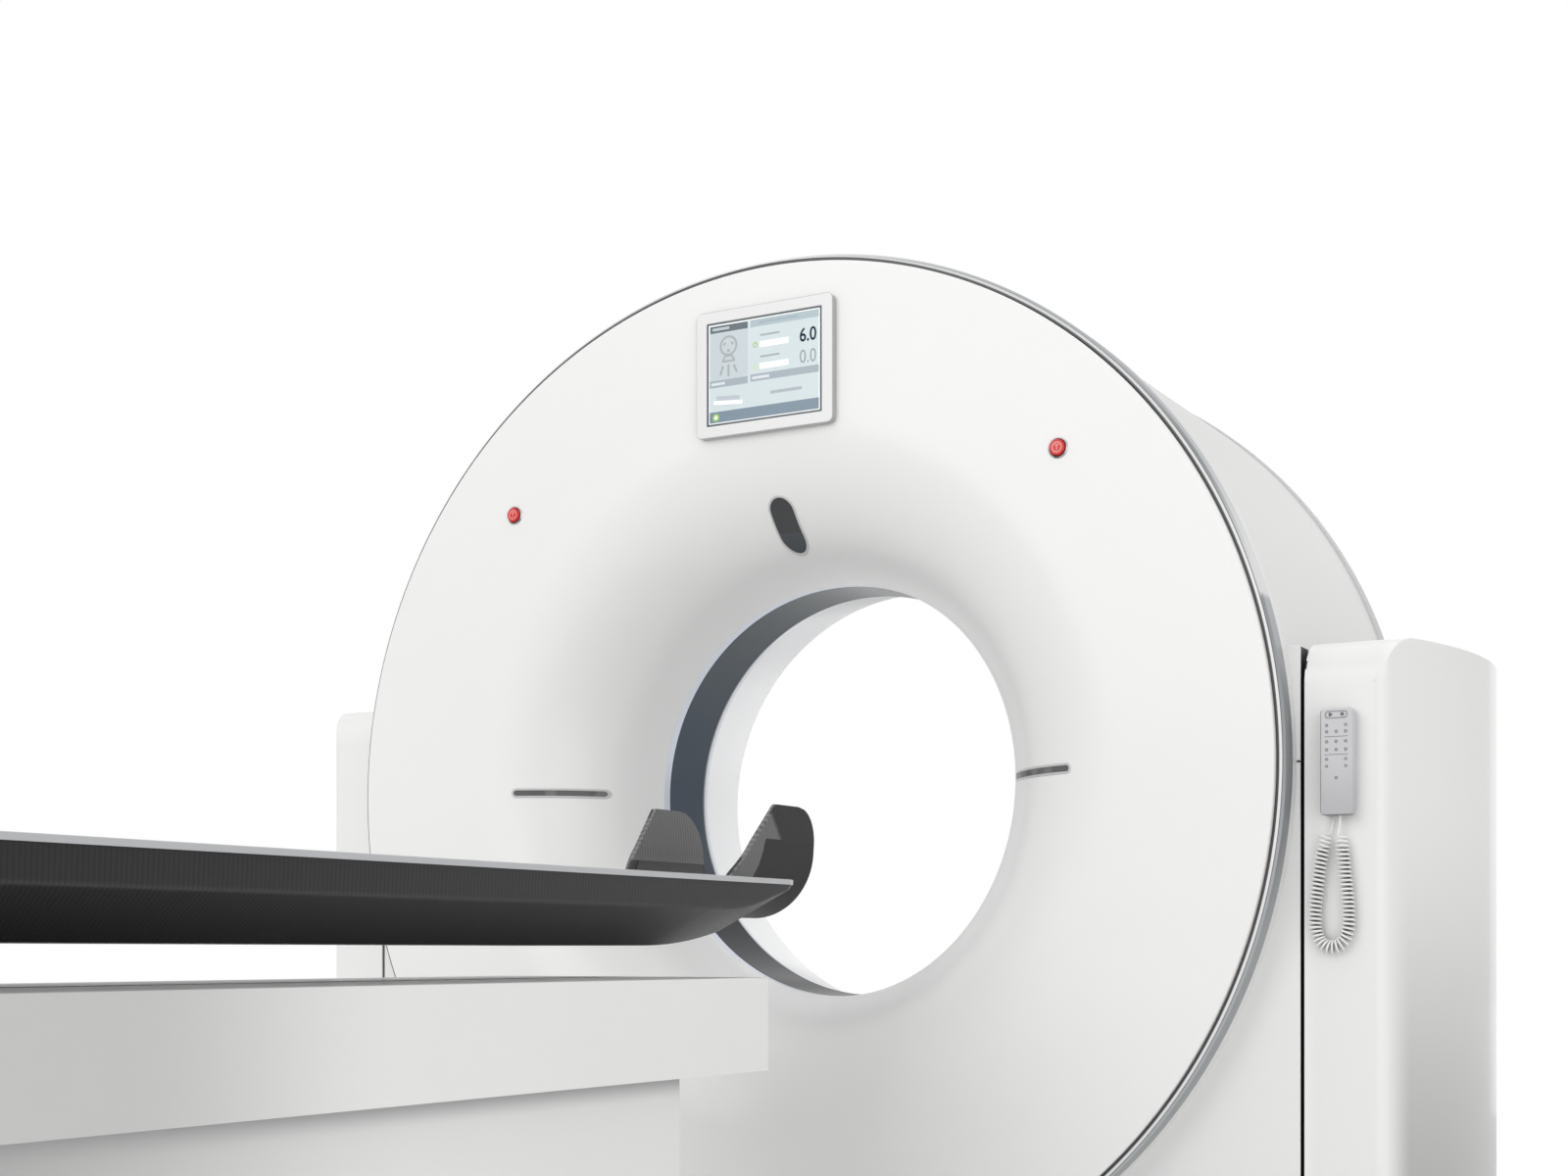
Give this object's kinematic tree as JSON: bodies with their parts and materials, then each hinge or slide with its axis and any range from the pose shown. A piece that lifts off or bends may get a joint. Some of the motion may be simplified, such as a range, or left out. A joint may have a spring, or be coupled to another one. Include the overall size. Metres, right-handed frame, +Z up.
{
  "type": "ct scanner",
  "caption": "Tilting CT scanner: ring gantry between two pillars, rotor and drive inside, and a lifting patient table with a sliding cradle and head holder.",
  "frame": {"origin": "on the floor straight below the isocentre, in the scan plane, at the centre of the four floor anchors of the gantry", "axes": "+X to the right seen from the table, +Y from the table through the bore to the back of the gantry, +Z up"},
  "size_m": [2.08, 3.503, 1.8698],
  "materials": {
    "cover_white": "smooth satin moulded cover",
    "barrel_white": "smooth satin moulded cover",
    "trim_silver": "satin silver band",
    "lip_silver": "satin silver ring",
    "scan_window": "dark glossy window",
    "liner_grey": "pale grey liner",
    "display_case": "satin pale grey",
    "display_screen": "dark glass",
    "laser_glass": "dark window",
    "bezel_chrome": "bright trim",
    "stop_red": "red button",
    "frame_cast": "cast and machined",
    "bearing_steel": "ground steel",
    "machine_grey": "painted steel",
    "rotor_alloy": "machined alloy",
    "generator_alloy": "painted housing",
    "weight_iron": "cast",
    "slip_resin": "moulded resin",
    "belt_rubber": "toothed belt",
    "base_steel": "painted steel",
    "handset_grey": "satin light violet grey",
    "keypad_film": "printed film",
    "cord_white": "off-white sheath",
    "cradle_dark": "woven fibre under clear resin",
    "strip_light": "light edge strip",
    "holder_weave": "woven fibre under clear resin",
    "table_white": "smooth satin moulded cover",
    "table_steel": "painted steel",
    "rail_steel": "ground rail",
    "skirt_grey": "painted sheet"
  },
  "bodies": {
    "base": {"base_frame": "base_steel", "pillar_cover_left": "cover_white", "pillar_cover_right": "cover_white", "pillar_liners": "cover_white", "pillar_frame_left": "base_steel", "pillar_frame_right": "base_steel", "tilt_bearings": "bearing_steel", "tilt_gearbox": "machine_grey", "tilt_motor": "machine_grey", "handset_dock": "handset_grey", "handset_case": "handset_grey", "handset_keypad": "keypad_film", "handset_cord": "cord_white", "table_base": "table_steel", "column_outer": "table_steel", "skirt_lower": "skirt_grey", "lift_motor": "machine_grey"},
    "gantry": {"front_cover": "cover_white", "rear_cover": "cover_white", "upper_cover": "barrel_white", "lower_cover": "barrel_white", "front_trim_ring": "trim_silver", "rear_trim_ring": "trim_silver", "bore_lip_ring": "lip_silver", "scan_window_ring": "scan_window", "bore_liner": "liner_grey", "display_housing": "display_case", "display_glass": "display_screen", "laser_window_top": "laser_glass", "laser_window_left": "laser_glass", "laser_window_right": "laser_glass", "laser_bezels": "bezel_chrome", "stop_bezels": "bezel_chrome", "tilt_frame": "frame_cast", "bearing_outer": "bearing_steel", "drive_motor": "machine_grey", "drive_belt": "belt_rubber"},
    "rotor": {"rotor_disc": "rotor_alloy", "bearing_inner": "bearing_steel", "slip_ring": "slip_resin", "xray_tube": "machine_grey", "collimator": "machine_grey", "detector_arc": "generator_alloy", "hv_generator": "generator_alloy", "counterweight": "weight_iron"},
    "pulley": {"motor_pulley": "bearing_steel"},
    "stop_left": {"stop_button_left": "stop_red"},
    "stop_right": {"stop_button_right": "stop_red"},
    "middle_stage": {"column_middle": "table_steel", "skirt_middle": "skirt_grey"},
    "screw": {"lift_screw": "rail_steel"},
    "bed": {"column_inner": "table_steel", "skirt_upper": "skirt_grey", "bed_frame": "table_steel", "bed_cover": "table_white", "bed_rails": "rail_steel"},
    "cradle": {"cradle_shell": "cradle_dark", "cradle_edge_strips": "strip_light", "cradle_carriage": "table_steel", "head_holder": "holder_weave"}
  },
  "joints": [
    {"name": "gantry_tilt", "type": "hinge", "parent": "base", "child": "gantry", "pos_m": [0, 0, 1.03], "axis": [1, 0, 0], "range_deg": [-30, 30]},
    {"name": "rotor_spin", "type": "hinge", "parent": "gantry", "child": "rotor", "pos_m": [0, 0, 1.03], "axis": [0, 1, 0], "continuous": true},
    {"name": "pulley_spin", "type": "hinge", "parent": "gantry", "child": "pulley", "pos_m": [-0.64, 0.085, 0.5], "axis": [0, 1, 0], "continuous": true},
    {"name": "stop_press_left", "type": "slide", "parent": "gantry", "child": "stop_left", "axis": [0, 1, 0], "range_m": [0, 0.004], "stiffness_N_per_m": 3000},
    {"name": "stop_press_right", "type": "slide", "parent": "gantry", "child": "stop_right", "axis": [0, 1, 0], "range_m": [0, 0.004], "stiffness_N_per_m": 3000},
    {"name": "table_lift", "type": "slide", "parent": "base", "child": "bed", "axis": [0, 0, 1], "range_m": [-0.3, 0.13]},
    {"name": "middle_stage_lift", "type": "slide", "parent": "base", "child": "middle_stage", "axis": [0, 0, 1], "range_m": [-0.151, 0.066]},
    {"name": "lift_screw_turn", "type": "hinge", "parent": "base", "child": "screw", "pos_m": [0, -1.67, 0.02], "axis": [0, 0, 1], "range_deg": [-5410, 2350]},
    {"name": "cradle_travel", "type": "slide", "parent": "bed", "child": "cradle", "axis": [0, 1, 0], "range_m": [-0.35, 1.4]}
  ],
  "couplings": [
    {"joint": "pulley_spin", "follows": "rotor_spin", "ratio": 15.2},
    {"joint": "middle_stage_lift", "follows": "table_lift", "ratio": 0.5},
    {"joint": "lift_screw_turn", "follows": "table_lift", "rad_per_m": 314.16}
  ]
}
